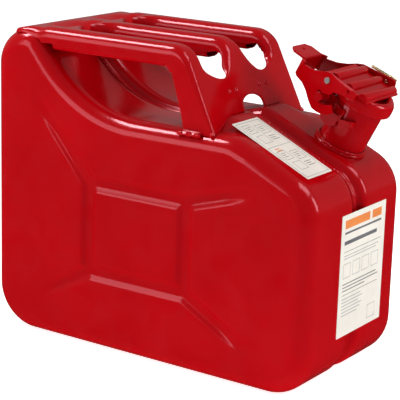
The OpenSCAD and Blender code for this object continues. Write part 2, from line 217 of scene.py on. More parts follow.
def ramp_node(tree, source, stops):
    node = tree.nodes.new("ShaderNodeValToRGB")
    ramp = node.color_ramp
    while len(ramp.elements) < len(stops):
        ramp.elements.new(0.5)
    for element, (at, colour) in zip(ramp.elements, stops):
        element.position = at
        element.color = (*colour, 1.0)
    tree.links.new(source, node.inputs["Fac"])
    return node


def range_node(tree, source, low, high, from_low=0.3, from_high=0.7):
    node = tree.nodes.new("ShaderNodeMapRange")
    node.inputs["From Min"].default_value = from_low
    node.inputs["From Max"].default_value = from_high
    node.inputs["To Min"].default_value = low
    node.inputs["To Max"].default_value = high
    tree.links.new(source, node.inputs["Value"])
    return node


def add_bump(tree, bsdf, sources, distance, strength):
    """Chains one bump node per height source."""
    before = None
    for source in sources:
        node = tree.nodes.new("ShaderNodeBump")
        node.inputs["Distance"].default_value = distance
        node.inputs["Strength"].default_value = strength
        tree.links.new(source, node.inputs["Height"])
        if before:
            tree.links.new(before.outputs["Normal"], node.inputs["Normal"])
        before = node
    tree.links.new(before.outputs["Normal"], bsdf.inputs["Normal"])


def enamel():
    """Thick glossy red enamel: slight orange peel, slow colour drift, faint scuffs in the gloss."""
    material, tree, bsdf = shader("red_enamel_gloss")
    drift = noise_node(tree, 9.0)
    colour = ramp_node(tree, drift.outputs["Fac"], [(0.3, (0.37, 0.0, 0.002)), (0.7, (0.43, 0.0, 0.003))])
    tree.links.new(colour.outputs["Color"], bsdf.inputs["Base Color"])
    scuff = noise_node(tree, 70.0, 6.0, 0.65)
    gloss = range_node(tree, scuff.outputs["Fac"], 0.11, 0.2)
    tree.links.new(gloss.outputs["Result"], bsdf.inputs["Roughness"])
    peel = noise_node(tree, 420.0, 2.0)
    add_bump(tree, bsdf, [peel.outputs["Fac"]], 0.0001, 0.015)
    bsdf.inputs["Specular IOR Level"].default_value = 0.5
    bsdf.inputs["Specular Tint"].default_value = (1.0, 0.4, 0.48, 1)
    bsdf.inputs["Coat Weight"].default_value = 0.06
    bsdf.inputs["Coat Roughness"].default_value = 0.04
    return material


def plated(name, light, dark, rough):
    """Zinc plate with fine mottling and small stains."""
    material, tree, bsdf = shader(name)
    mottle = noise_node(tree, 240.0, 5.0, 0.7)
    colour = ramp_node(tree, mottle.outputs["Fac"], [(0.35, dark), (0.65, light)])
    tree.links.new(colour.outputs["Color"], bsdf.inputs["Base Color"])
    polish = range_node(tree, mottle.outputs["Fac"], rough - 0.08, rough + 0.1)
    tree.links.new(polish.outputs["Result"], bsdf.inputs["Roughness"])
    grain = noise_node(tree, 900.0, 2.0)
    add_bump(tree, bsdf, [grain.outputs["Fac"]], 0.0001, 0.15)
    bsdf.inputs["Metallic"].default_value = 1.0
    return material


def rubber():
    material, tree, bsdf = shader("nitrile_rubber")
    dust = noise_node(tree, 150.0, 4.0)
    stops = [(0.35, (0.012, 0.012, 0.012)), (0.7, (0.035, 0.034, 0.032))]
    colour = ramp_node(tree, dust.outputs["Fac"], stops)
    tree.links.new(colour.outputs["Color"], bsdf.inputs["Base Color"])
    rough = range_node(tree, dust.outputs["Fac"], 0.55, 0.75)
    tree.links.new(rough.outputs["Result"], bsdf.inputs["Roughness"])
    grain = noise_node(tree, 1500.0, 2.0)
    add_bump(tree, bsdf, [grain.outputs["Fac"]], 0.0001, 0.3)
    return material


def paper(name, light, dark):
    """Satin label stock with faint fibre and slight yellowing."""
    material, tree, bsdf = shader(name)
    fibre = noise_node(tree, 60.0, 6.0, 0.6)
    colour = ramp_node(tree, fibre.outputs["Fac"], [(0.3, dark), (0.7, light)])
    tree.links.new(colour.outputs["Color"], bsdf.inputs["Base Color"])
    rough = range_node(tree, fibre.outputs["Fac"], 0.38, 0.5)
    tree.links.new(rough.outputs["Result"], bsdf.inputs["Roughness"])
    grain = noise_node(tree, 1200.0, 2.0)
    add_bump(tree, bsdf, [grain.outputs["Fac"]], 0.00005, 0.2)
    return material


RED = enamel()
ZINC = plated("zinc_plate", (0.66, 0.64, 0.60), (0.50, 0.48, 0.44), 0.34)
GOLD_ZINC = plated("yellow_zinc_plate", (0.72, 0.58, 0.34), (0.50, 0.38, 0.18), 0.3)
RUBBER = rubber()
LABEL = paper("label_stock_white", (0.79, 0.75, 0.68), (0.73, 0.69, 0.62))
INK = paper("print_grey", (0.16, 0.16, 0.17), (0.10, 0.10, 0.11))
INK_LIGHT = paper("print_pale_grey", (0.42, 0.42, 0.42), (0.34, 0.34, 0.34))
INK_WARM = paper("print_orange", (0.80, 0.26, 0.05), (0.70, 0.20, 0.04))


# ---------------------------------------------------------------- body outline

# Top line from the front deck back to the handle recess: x, height in the middle, height at the sides
TOP_LINE = [
    (135, deck(135), deck(135)), (128, deck(128), deck(128)), (120, deck(120), deck(120)),
    (113, deck(113), deck(113)), (106, deck(106), deck(106) - 0.2), (101, deck(101), 213.6),
    (96, deck(96), 215.7), (92, deck(92), 217.1), (88, deck(88), 218.1), (84, 222.2, 218.5),
    (80, 224.1, 218.6), (76, 225.9, 218.7), (72, 227.4, 218.7), (69, 228.6, 218.7),
    (66, 229.2, 218.7), (63, 229.1, 218.7), (60, 228.6, 218.7), (55, 227.4, 218.6),
    (50, 226.0, 218.6), (42, 223.9, 218.6), (35, 221.8, 218.6), (27, 220.1, 218.5),
    (20, 219.0, 218.5), (12, 218.6, 218.5), (5, SHELF_Z, SHELF_Z),
]


def fillet(p0, p1, p2, r, n):
    """Points of the arc that rounds the corner p1 of the path p0, p1, p2."""
    a = (Vector(p1) - Vector(p0)).normalized()
    b = (Vector(p2) - Vector(p1)).normalized()
    turn = math.acos(a.dot(b))
    s = 1.0 if a.x * b.y - a.y * b.x > 0 else -1.0
    start = Vector(p1) - a * r * math.tan(turn / 2)
    centre = start + s * r * Vector((-a.y, a.x))
    v = start - centre
    out = []
    for i in range(n + 1):
        q = s * turn * i / n
        c, d = math.cos(q), math.sin(q)
        out.append((centre.x + v.x * c - v.y * d, centre.y + v.x * d + v.y * c))
    return out


def straight(p, q, n):
    """Points between p and q, ends left out."""
    return [(mix(p[0], q[0], i / n), mix(p[1], q[1], i / n)) for i in range(1, n)]


def outline(side):
    """Side view of the can, counter-clockwise; side is 0 in the middle and 1 at the rolled edge."""
    low_back, low_front = (-HALF_L, 0.0), (HALF_L, 0.0)
    high_front, high_back = (HALF_L, deck(HALF_L)), (-HALF_L, TOP_Z)
    recess, crest = (-71.0, SHELF_Z), (-127.6, TOP_Z)
    top = [(x, mix(mid, edge, side)) for x, mid, edge in TOP_LINE]
    runs = [
        fillet(high_back, low_back, low_front, CORNER_R, 18),
        fillet(low_back, low_front, high_front, CORNER_R, 18),
        fillet(low_front, high_front, top[0], 38, 16),
        top,
        fillet(top[-1], recess, crest, 120, 26),
        fillet(recess, crest, high_back, 20, 14),
        fillet(crest, high_back, low_back, 34, 18),
    ]
    out = []
    for run, after in zip(runs, runs[1:] + runs[:1]):
        out += run
        gap = (Vector(after[0]) - Vector(run[-1])).length
        out += straight(run[-1], after[0], max(1, int(gap // 12)))
    fine = []
    for p, q in zip(out, out[1:] + out[:1]):
        fine.append(p)
        if min(p[0], q[0]) > 100 and max(p[0], q[0]) < 160 and p[1] > 180:
            fine += straight(p, q, math.ceil(abs(q[0] - p[0]) / 2.2))
    return fine


def inset(points, d):
    """The outline moved inwards by d."""
    out = []
    n = len(points)
    for i in range(n):
        p0, p1, p2 = Vector(points[i - 1]), Vector(points[i]), Vector(points[(i + 1) % n])
        e1, e2 = (p1 - p0).normalized(), (p2 - p1).normalized()
        n1, n2 = Vector((e1.y, -e1.x)), Vector((e2.y, -e2.x))
        out.append(tuple(p1 - (n1 + n2) * d / (1 + n1.dot(n2))))
    return out


def body_top(x):
    """Height of the can's crest and recess at x, on the handle side."""
    upper = [p for p in outline(1.0) if p[1] > 214]
    best = 0.0
    for p, q in zip(upper, upper[1:]):
        if min(p[0], q[0]) <= x <= max(p[0], q[0]) and abs(p[0] - q[0]) > 1e-6:
            best = max(best, mix(p[1], q[1], (x - p[0]) / (q[0] - p[0])))
    return best


# ---------------------------------------------------------------- pressed halves

# Centre lines of the pressed grooves: a closed rectangle and four arms that fade out
FRAME_X, FRAME_Z = (-60.5, 45.2), (73.2, 156.8)
ARMS = [
    ((-60.5, 156.8), (-121, 225), 0.75), ((-60.5, 73.2), (-119, 41), 1.0),
    ((45.2, 73.2), (114, 34), 1.0), ((45.2, 156.8), (112, 176), 1.0),
]


def to_segment(p, a, b):
    """Distance from p to the segment ab, and how far along it the nearest point is."""
    ab, ap = Vector(b) - Vector(a), Vector(p) - Vector(a)
    t = min(1.0, max(0.0, ap.dot(ab) / ab.length_squared))
    return (ap - ab * t).length, t


def groove(distance, width, depth):
    """Depth of a rounded groove at a distance from its centre line."""
    edge = width / 2
    wall = 2.6
    return depth * smooth((edge + wall - distance) / (2 * wall))


def pressing(x, z):
    """How far the side is pressed in at x, z."""
    cx, cz = sum(FRAME_X) / 2, sum(FRAME_Z) / 2
    hx, hz = (FRAME_X[1] - FRAME_X[0]) / 2, (FRAME_Z[1] - FRAME_Z[0]) / 2
    r = 7.0
    qx, qz = abs(x - cx) - hx + r, abs(z - cz) - hz + r
    edge = math.hypot(max(qx, 0), max(qz, 0)) + min(max(qx, qz), 0) - r
    depth = groove(abs(edge), GROOVE_W, GROOVE_DEPTH)
    for a, b, strength in ARMS:
        d, t = to_segment((x, z), a, b)
        fade = mix(1.0, strength, smooth(t / 0.3)) * (1 - 0.8 * smooth((t - 0.55) / 0.45))
        depth = max(depth, groove(d, GROOVE_W - 2 * t, GROOVE_DEPTH * fade))
    return depth


def half_rings():
    """Sections from the seam to the rolled edge: distance from the seam, inset, side."""
    # Wall of the seam channel: distance from the seam, share of the full depth
    wall = [
        (4.0, 1.0), (5.2, 0.98), (6.2, 0.9), (7.2, 0.74), (8.2, 0.54),
        (9.2, 0.37), (10.4, 0.23), (11.8, 0.12), (13.2, 0.04),
    ]
    rings = [(0.0, SEAM_DEPTH, 0.0)] + [(y, SEAM_DEPTH * d, 0.0) for y, d in wall] + [(15.0, 0.0, 0.0)]
    rings += [(mix(17.0, 38.0, t / 9), 0.0, 0.0) for t in range(10)]
    rings += [(mix(40, 65, t / 11), 0.0, smooth(t / 11)) for t in range(12)]
    for k in range(1, 13):
        a = math.radians(90 * k / 12)
        rings.append((HALF_W - EDGE_R + EDGE_R * math.sin(a), EDGE_R * (1 - math.cos(a)), 1.0))
    return rings


def pressed_half(name, node, sign):
    """One pressed half: band of rings, then the side panel cut into a fine grid and pressed."""
    bm = bmesh.new()
    rings = []
    for y, depth, side in half_rings():
        points = inset(outline(side), depth)
        rings.append([bm.verts.new((x, sign * y, z)) for x, z in points])
    n = len(rings[0])
    for lower, upper in zip(rings, rings[1:]):
        for i in range(n):
            j = (i + 1) % n
            bm.faces.new((lower[i], lower[j], upper[j], upper[i]))
    panel = bm.faces.new(rings[-1])
    step = 2.0
    cells = [panel]
    for axis, reach in ((0, (-158, 158)), (2, (14, 272))):
        at = reach[0]
        while at < reach[1]:
            normal = Vector((1, 0, 0)) if axis == 0 else Vector((0, 0, 1))
            geom = set(cells)
            for f in cells:
                geom.update(f.edges)
                geom.update(f.verts)
            bmesh.ops.bisect_plane(bm, geom=list(geom), plane_co=normal * at, plane_no=normal, dist=0.01)
            cells = [f for f in bm.faces if all(abs(abs(v.co.y) - HALF_W) < 1e-4 for v in f.verts)]
            at += step
    for v in {v for f in cells for v in f.verts}:
        v.co.y -= sign * pressing(v.co.x, v.co.z)
    axis = (neck_point(0, 0, 1) - NECK_AT).normalized()
    hole = [
        f for f in bm.faces
        if f.calc_center_median().z > 150 and f.calc_center_median().x > 90
        and (f.calc_center_median() - NECK_AT).cross(axis).length < NECK_R - 0.6
    ]
    bmesh.ops.delete(bm, geom=hole, context="FACES")
    bmesh.ops.scale(bm, vec=(MM, MM, MM), verts=bm.verts)
    bmesh.ops.recalc_face_normals(bm, faces=bm.faces)
    mesh = bpy.data.meshes.new(name)
    bm.to_mesh(mesh)
    bm.free()
    return dress(name, mesh, RED, "can", [node], 60)


def seam_bead():
    """Weld bead along the floor of the seam channel, with the ripple of the weld pool."""
    line = [Vector((x, 0, z)) for x, z in inset(outline(0.0), SEAM_DEPTH - 0.2)]
    line.append(line[0])
    path = []
    for p, q in zip(line, line[1:]):
        steps = max(1, round((q - p).length / 1.5))
        path += [p.lerp(q, i / steps) for i in range(steps)]

    def radius(i, a):
        return 2.1 + 0.25 * math.sin(i * 1.9) + 0.5 * noise.noise(path[i] * 0.08)

    verts, faces = sweep(path, radius, 10)
    verts = [Vector((v.x, v.y * 1.25, v.z)) for v in verts]
    return piece("seam_bead", verts, faces, RED, "can", ["seam_weld"])


# ---------------------------------------------------------------- handle pressing

# Web holes and arch: distance up the slope, half-width position of an edge
HOLE_BOTTOM = 36.4
HOLE_IN = [(HOLE_BOTTOM, 30.5), (37.4, 26.5), (39.4, 23.6), (43, 21.2), (48, 18.6), (56, 14.0), (66, 11.0)]
HOLE_OUT = [(HOLE_BOTTOM, 31.5), (37.2, 37.0), (39.0, 42.0), (43, 48.0), (48, 51.8), (56, 53.2), (66, 53.0)]
ARCH_R, ARCH_AT = 16.0, 1.2
# Points of a half section that a saddle row spreads over its valleys, and those of its corner and wall
VALLEY_POINTS, WALL_POINTS = 27, 13
# The web's last row, and the height up the slope above which its rows don't follow the can
WEB_FOOT, WEB_FREE = -9.5, 18.0


def handle_rows():
    """Cross-sections from the back of the saddle to the foot of the web."""
    rows = []

    def row(x, z, normal, **more):
        base = dict(at=Vector((x, 0, z)), n=normal, inner=11.0, outer=53.0, r_hole=9.0, lip=14.0,
                    r_leg=9.0, wall=14.0, valley=None, b=None, arch=0.0)
        base.update(more)
        rows.append(base)

    # Saddle: the sheet lies on the crest, with shallow valleys between the bars
    for k in range(17):
        t = k / 16
        x = mix(-150, -102, t)
        z = min(BAR_TOP, mix(body_top(x) + SHEET + 0.3, BAR_TOP, smooth((x + 146) / 30)))
        open_t = smooth((x + 112) / 10)
        wall = min(14.0, max(1.5, z - body_top(x) + 2.0))
        valley = mix(0.0, 12.0, smooth((x + 140) / 38))
        inner, outer = 31.5, 32.5
        if k > 13:
            inner, outer = mix(31.0, 11.0, open_t), mix(33.0, 53.0, open_t)
        row(x, z, Vector((0, 0, 1)), valley=valley, wall=wall, inner=inner, outer=outer,
            r_leg=mix(4.0, 9.0, smooth((x + 146) / 20)))
    # Straight grips, with the slots between them opening at their rounded rear ends
    for t in (0.4, 1.2, 2.6, 4.6, 7.2, 10.6, 15.0, 20.0):
        w = math.sqrt(1 - (1 - min(1.0, t / 20.0)) ** 2)
        row(-102 + t, BAR_TOP, Vector((0, 0, 1)), inner=mix(31.5, 11, w), outer=mix(32.5, 53, w),
            r_hole=mix(2.0, 9.0, w), lip=mix(12.5, 14.0, w))
    for k in range(1, 26):
        x = mix(-82, BEND_X, k / 26)
        row(x, BAR_TOP, Vector((0, 0, 1)), wall=mix(14.0, 20.4, smooth((x - 14) / 4)))
    # Front bend
    turn = math.pi / 2 - WEB_ANGLE
    for k in range(14):
        a = turn * k / 13
        n = Vector((math.sin(a), 0, math.cos(a)))
        c = Vector((BEND_X, 0, BAR_TOP - BEND_R))
        t = k / 13
        row(c.x + n.x * BEND_R, c.z + n.z * BEND_R, n, inner=along(HOLE_IN, mix(74, 56, t)),
            outer=along(HOLE_OUT, mix(74, 56, t)), lip=mix(14.0, 7.0, smooth(t)), r_hole=mix(9.0, 6.5, t),
            r_leg=mix(9.0, 5.0, t), wall=mix(20.4, 21.5, smooth(t)))
    # Sloped web
    n = Vector((math.cos(WEB_ANGLE), 0, math.sin(WEB_ANGLE)))
    top = (BAR_TOP - BEND_R + BEND_R * math.cos(turn) - WEB_Z) / math.cos(WEB_ANGLE)
    steps = [top - 2, top - 4.5, top - 7.5, 45, 43, 41, 39.4, 38.2, 37.2, 36.7, HOLE_BOTTOM]
    steps += [35.4, 33.5, 31, 28, 25, 22, 20, 18.6, 17.9, ARCH_AT + ARCH_R]
    steps += [16.8, 15.9, 14.4, 12, 9, 6, 3, 0, -3, -6, WEB_FOOT]
    for b in steps:
        closed = b <= HOLE_BOTTOM
        near = smooth((b - HOLE_BOTTOM) / 12)
        arch = 0.0
        if b < ARCH_AT + ARCH_R:
            arch = math.sqrt(max(0.0, ARCH_R ** 2 - max(0.0, b - ARCH_AT) ** 2))
        row(WEB_X - b * math.sin(WEB_ANGLE), WEB_Z + b * math.cos(WEB_ANGLE), n, b=b, closed=closed,
            inner=30.5 if closed else along(HOLE_IN, b), outer=31.5 if closed else along(HOLE_OUT, b),
            r_hole=0.0 if closed else mix(1.2, 6.5, near), lip=0.0 if closed else mix(1.4, 7.0, near),
            r_leg=along([(0, 3.0), (top, 5.0)], b), wall=along([(0, 27.0), (top, 19.0)], b), arch=arch)
    return rows


def web_floor(y):
    """Lowest distance along the slope that the web reaches at y, where it meets the can."""
    z = along([(42, 229.5), (65, 219.3), (75, 217.0)], abs(y))
    return (z - WEB_Z) / math.cos(WEB_ANGLE)


def half_section(r):
    """(y, depth) points of one half of a handle section, from the middle to the outer wall's edge."""
    out = []
    start = r["arch"]
    flat = max(start + 0.2, r["inner"] - r["r_hole"])
    valley = r["valley"]
    for k in range(6):
        out.append((mix(start, flat, k / 5), 0.0))
    for k in range(1, 8):
        a = math.radians(90 * k / 7)
        out.append((flat + (r["inner"] - flat) * math.sin(a), r["r_hole"] * (1 - math.cos(a))))
    for k in range(1, 4):
        out.append((r["inner"], mix(r["r_hole"], max(r["lip"], r["r_hole"]), k / 3)))
    for k in range(3):
        out.append((r["outer"], mix(max(r["lip"], r["r_hole"]), r["r_hole"], k / 3)))
    inner_flat = r["outer"] + r["r_hole"]
    for k in range(8):
        a = math.radians(90 * (7 - k) / 7)
        out.append((inner_flat - r["r_hole"] * math.sin(a), r["r_hole"] * (1 - math.cos(a))))
    corner = 75.0 - r["r_leg"]
    for k in range(1, 6):
        out.append((mix(inner_flat, corner, k / 6), 0.0))
    for k in range(8):
        a = math.radians(90 * k / 7)
        out.append((corner + r["r_leg"] * math.sin(a), r["r_leg"] * (1 - math.cos(a))))
    for k in range(1, 6):
        out.append((75.0, mix(r["r_leg"], max(r["wall"], r["r_leg"] + 0.5), k / 5)))
    if valley is not None:
        # Same number of points, spread over shallow valleys instead of a slot
        ys = [mix(0.0, BAR_PITCH, k / (VALLEY_POINTS - 1)) for k in range(VALLEY_POINTS)]
        bars = [min(abs(y), abs(y - BAR_PITCH)) for y in ys]
        spread = [(y, valley * smooth((bar - 4) / 20)) for y, bar in zip(ys, bars)]
        flat_points = len(out) - VALLEY_POINTS - WALL_POINTS
        flats = [(mix(BAR_PITCH, corner, (k + 1) / flat_points), 0.0) for k in range(flat_points)]
        out = spread + flats + out[-WALL_POINTS:]
    return out


def handle_pressing():
    rows = handle_rows()
    verts, faces = [], []
    hole_after = 15  # last point of the middle bar; the next one belongs to the outer bar
    for sign in (1, -1):
        sections = [half_section(r) for r in rows]
        cols = len(sections[0])
        start = len(verts)
        for r, section in zip(rows, sections):
            for y, d in section:
                at = r["at"] - r["n"] * d + Vector((0, sign * y, 0))
                if r["b"] is not None and r["b"] < WEB_FREE:
                    wall_floor = (216.6 - WEB_Z + d * math.sin(WEB_ANGLE)) / math.cos(WEB_ANGLE)
                    floor = max(web_floor(y), wall_floor)
                    low = mix(floor, WEB_FREE, (r["b"] - WEB_FOOT) / (WEB_FREE - WEB_FOOT))
                    slide = low - r["b"]
                    at += Vector((-math.sin(WEB_ANGLE), 0, math.cos(WEB_ANGLE))) * slide
                verts.append(at)
        for i in range(len(rows) - 1):
            shut = (rows[i]["valley"] is not None and rows[i + 1]["valley"] is not None) or (
                rows[i].get("closed") and rows[i + 1].get("closed"))
            for c in range(cols - 1):
                if c == hole_after and not shut:
                    continue
                a = start + i * cols + c
                quad = (a, a + 1, a + cols + 1, a + cols)
                faces.append(quad if sign > 0 else tuple(reversed(quad)))
    obj = piece("handle_pressing", verts, faces, RED, "can", ["handle_frame"], 50)
    bm = bmesh.new()
    bm.from_mesh(obj.data)
    bmesh.ops.remove_doubles(bm, verts=bm.verts, dist=0.00002)
    bmesh.ops.dissolve_degenerate(bm, edges=bm.edges, dist=0.00001)
    bm.to_mesh(obj.data)
    bm.free()
    add_thickness(obj, -SHEET)
    add_bevel(obj, 0.35, 2, 50)
    return obj


def grip_troughs():
    """Rounded underside of each bar, tucked between the walls of the pressing."""
    verts, faces = [], []
    turns = [math.radians(a) for a in range(0, 91, 15)]
    profile = [(-10.9, 9.5), (-10.9, 12.0)]
    profile += [(-4.4 - 6.5 * math.cos(a), 13.5 + 6.5 * math.sin(a)) for a in turns]
    profile += [(-x, d) for x, d in reversed(profile)]
    for y in (-BAR_PITCH, 0.0, BAR_PITCH):
        start = len(verts)
        stations = [mix(-108, 18.6, k / 20) for k in range(21)]
        for x in stations:
            for dy, d in profile:
                cut = (d - 9.5) * 0.35 if x == stations[-1] else 0.0
                verts.append(Vector((x - cut, y + dy, BAR_TOP - d)))
        faces += grid_faces(len(stations), len(profile), start)
    obj = piece("grip_troughs", verts, faces, RED, "can", ["handle_grip_strips"], 50)
    add_thickness(obj, 1.2)
    add_bevel(obj, 0.3, 2, 50)
    return obj


def weld_lump(verts, faces, centre, length, width, height, turn=0.0, seed=0.0):
    """An irregular bead, half an ellipsoid with ripples, lying along X before it is turned about Z."""
    start = len(verts)
    rings, sides = 14, 12
    c, s = math.cos(turn), math.sin(turn)
    for i in range(rings):
        t = math.pi * (i + 0.5) / rings
        for k in range(sides):
            a = 2 * math.pi * k / sides
            r = 1 + 0.12 * math.sin(i * 2.4 + seed) + 0.1 * noise.noise(Vector((i * 0.7, k * 0.9, seed)))
            x = -math.cos(t) * length / 2
            y = math.sin(t) * math.cos(a) * width / 2 * r
            z = math.sin(t) * math.sin(a) * height * r
            verts.append(centre + Vector((x * c - y * s, x * s + y * c, z)))
    faces += [tuple(reversed(f)) for f in grid_faces(rings, sides, start, True)]
    faces.append(tuple(start + k for k in range(sides)))
    faces.append(tuple(start + (rings - 1) * sides + k for k in reversed(range(sides))))


def foot_tabs():
    """Tabs turned out at the feet of the legs, and the beads that weld them down."""
    verts, faces = [], []
    for s in (1, -1):
        start = len(verts)
        xs = [33 + 24 * k / 8 for k in range(9)]
        for x in xs:
            rounding = 1.6 * (1 - math.sqrt(max(0.0, 1 - (max(abs(x - 45) - 9.5, 0) / 2.6) ** 2)))
            for k in range(7):
                t = k / 6
                y = mix(73.8, 79.2 - rounding, t)
                z = 219.4 - 3.0 * t * t - 0.8 * t
                verts.append(Vector((x, s * y, z)))
        quads = grid_faces(9, 7, start)
        faces += quads if s < 0 else [tuple(reversed(q)) for q in quads]
    obj = piece("foot_tabs", verts, faces, RED, "can", [], 50)
    add_thickness(obj, 1.4)
    add_bevel(obj, 0.3, 2, 50)
    verts, faces = [], []
    for s in (1, -1):
        for k, x in enumerate((36, 45.5, 54)):
            weld_lump(verts, faces, Vector((x, s * 77.6, 216.2)), 7.5, 3.2, 2.3, 0.0, k + s)
        weld_lump(verts, faces, Vector((66.5, s * 73.5, 217.6)), 7, 4.0, 2.6, 1.2 * s, 5 + s)
    beads = piece("foot_beads", verts, faces, RED, "can", ["handle_foot_welds"])
    return obj, beads


def web_spots():
    """Spot welds on the web, each a dimple with a raised rim, and two on the saddle."""
    verts, faces = [], []
    n = Vector((math.cos(WEB_ANGLE), 0, math.sin(WEB_ANGLE)))
    up = Vector((-math.sin(WEB_ANGLE), 0, math.cos(WEB_ANGLE)))
    profile = [(0.0, 0.15), (0.8, 0.2), (1.3, 0.55), (1.8, 0.6), (2.3, 0.25), (2.5, -0.2)]
    places = [(Vector((WEB_X, y, WEB_Z)) + up * 24, n, up) for y in (-30, -19, 19, 30)]
    saddle_z = body_top(-138) + SHEET + 0.1
    places += [(Vector((-138, y, saddle_z)), Vector((0, 0, 1)), Vector((1, 0, 0))) for y in (-34, 34)]
    for at, normal, axis in places:
        side = normal.cross(axis)
        start = len(verts)
        for r, h in profile:
            for k in range(18):
                a = 2 * math.pi * k / 18
                verts.append(at + (axis * math.cos(a) + side * math.sin(a)) * max(r, 0.01) + normal * h)
        faces += grid_faces(len(profile), 18, start, True)
    return piece("handle_spots", verts, faces, RED, "can", ["handle_spot_welds"], 80)


# ---------------------------------------------------------------- neck

def neck_tube():
    lip = arc(NECK_BORE_R + 2.1, MOUTH_U - 2.1, 2.1, 180, -120, 14)
    profile = [(17.7, 7), (17.7, 25.4), (NECK_BORE_R, 26)]
    profile += [(NECK_BORE_R, mix(26, 60, k / 6)) for k in range(1, 7)]
    profile += lip + [(NECK_R, 57.0), (NECK_R, 40), (NECK_R, 20), (NECK_R, 7)]
    verts, faces = revolve(profile, neck_point)
    return piece("neck_tube", verts, faces, RED, "can", ["filler_neck"], 40)


def deck_point(v, y, u):
    """A point given about the neck's foot, square to the deck."""
    a, t = math.atan(DECK_FALL), NECK_TILT
    run = (deck(NECK_AT.x) - NECK_AT.z) / (math.cos(t) + DECK_FALL * math.sin(t))
    foot = NECK_AT + Vector((math.sin(t), 0, math.cos(t))) * run
    return foot + Vector((v * math.cos(a) + u * math.sin(a), y, u * math.cos(a) - v * math.sin(a)))


def neck_collar():
    """Flange round the foot of the neck, dished up to the tube, and its rippled weld."""
    profile = [(21.3, 0.05), (24.2, 0.05), (24.5, 0.6), (24.4, 1.4), (23.8, 2.1), (22.8, 2.4), (21.3, 2.8)]
    verts, faces = revolve(profile, deck_point)
    flange = piece("neck_collar", verts, faces, RED, "can", ["neck_flange"], 40)

    def ripple(a, r, h):
        return 0.28 * math.sin(a * 34) + 0.35 * noise.noise(Vector((math.cos(a) * 3, math.sin(a) * 3, 1.7)))

    turns = [math.radians(t) for t in range(0, 360, 36)]
    ring = [(22.6 + 1.5 * math.cos(t), 3.2 + 1.4 * math.sin(t)) for t in turns]
    verts, faces = revolve(ring, deck_point, 220, ripple)
    return flange, piece("neck_weld_ring", verts, faces, RED, "can", ["neck_weld"])


# ---------------------------------------------------------------- closure

def cap_shell():
    """Spun cap: rolled skirt, crowned rim, raised middle."""
    outer = [(3.0, 67.6), (15.4, 67.6), (16.6, 68.2), (17.8, 71.2), (18.8, 72.2)]
    outer += [(20.0, 72.4), (21.6, 72.35), (23.0, 71.6), (24.2, 70.2)]
    outer += [(25.1, 68.4), (25.5, 66.4), (25.5, 61.6)]
    outer += [(25.35, 60.8), (24.9, 60.5), (24.3, 60.6), (24.1, 61.2)]
    inner = [(24.1, 66.2), (23.3, 68.6), (22.0, 70.4), (20.9, 71.0), (19.4, 70.8)]
    inner += [(18.6, 69.8), (17.4, 66.6), (16.2, 66.0), (3.0, 66.0)]
    verts, faces = revolve(outer + inner, neck_point)
    return piece("cap_shell", verts, faces, RED, "cap", ["cap_dish"], 40)


def carry(node, material, bevel=0.0):
    """Keeps a CAD node, welds its split corners for shading, and gives it its material."""
    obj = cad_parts[node]
    obj.data.materials.clear()
    obj.data.materials.append(material)
    weld = obj.modifiers.new("join", "WELD")
    weld.merge_threshold = 0.000005
    if bevel:
        add_bevel(obj, bevel, 3, CARRIED_BEVEL_ANGLE)
    return obj


# ---------------------------------------------------------------- labels

def plate(verts, faces, origin, across, down, u0, u1, v0, v1, lift):
    """A thin rectangle on a label: u runs across, v runs down, lift is off the paper."""
    normal = down.cross(across)
    start = len(verts)
    for u, v in ((u0, v0), (u1, v0), (u1, v1), (u0, v1)):
        verts.append(origin + across * u + down * v + normal * lift)
    faces.append((start, start + 3, start + 2, start + 1))


def label(name, node, origin, across, down, w, h, marks):
    """Paper with rounded corners, standing for its CAD node, and blocks of generic print."""
    r = 1.0
    corners = [(w - r, h - r, 0), (r, h - r, 90), (r, r, 180), (w - r, r, 270)]
    ring = [p for cx, cy, a in corners for p in arc(cx, cy, r, a, a + 90, 5)]
    normal = down.cross(across)
    verts = [origin + across * u + down * v + normal * lift for lift in (0.02, 0.2) for u, v in ring]
    n = len(ring)
    faces = [tuple(reversed(range(n, 2 * n))), tuple(range(n))]
    faces += [(i, n + i, n + (i + 1) % n, (i + 1) % n) for i in range(n)]
    sheet = piece(name, verts, faces, LABEL, "can", [node], 30)
    for k, (material, boxes) in enumerate(marks):
        verts, faces = [], []
        for u0, u1, v0, v1 in boxes:
            plate(verts, faces, origin, across, down, u0, u1, v0, v1, 0.23)
        piece(f"{name}_print_{k}", verts, faces, material, "can")
    return sheet


def lines_of(u0, lengths, v0, pitch, thick):
    """Rows of thin bars that stand for lines of print."""
    return [(u0, u0 + length, v0 + k * pitch, v0 + k * pitch + thick) for k, length in enumerate(lengths)]


def box_outline(u0, u1, v0, v1, t):
    return [(u0, u1, v0, v0 + t), (u0, u1, v1 - t, v1), (u0, u0 + t, v0, v1), (u1 - t, u1, v0, v1)]


def front_label():
    w, h = 78.5, 110.0
    origin = Vector((HALF_L, -30, 156))
    bold = [(6, 71, 15.5, 17.3)]
    warm = [(6, 50, 5, 12.5), (54, 71, 5, 12.5)]
    grey = lines_of(6, [58], 23.5, 1, 3.4) + lines_of(6, [66], 33, 1, 0.5)
    grey += lines_of(6, [60, 64, 40], 62, 3.0, 0.9) + lines_of(6, [64], 72, 1, 0.5)
    pale = lines_of(6, [62, 58], 36.5, 2.6, 0.8) + lines_of(6, [34, 38, 30, 36, 33, 28], 75.5, 3.0, 0.9)
    frames = []
    for k in range(4):
        frames += box_outline(6 + k * 16.6, 19 + k * 16.6, 44, 57, 0.6)
    frames += box_outline(54, 68, 92, 105, 0.6)
    marks = [(INK, bold + grey), (INK_LIGHT, pale + frames), (INK_WARM, warm)]
    down = Vector((0, 0, -1))
    return label("front_label_paper", "front_label", origin, Vector((0, 1, 0)), down, w, h, marks)


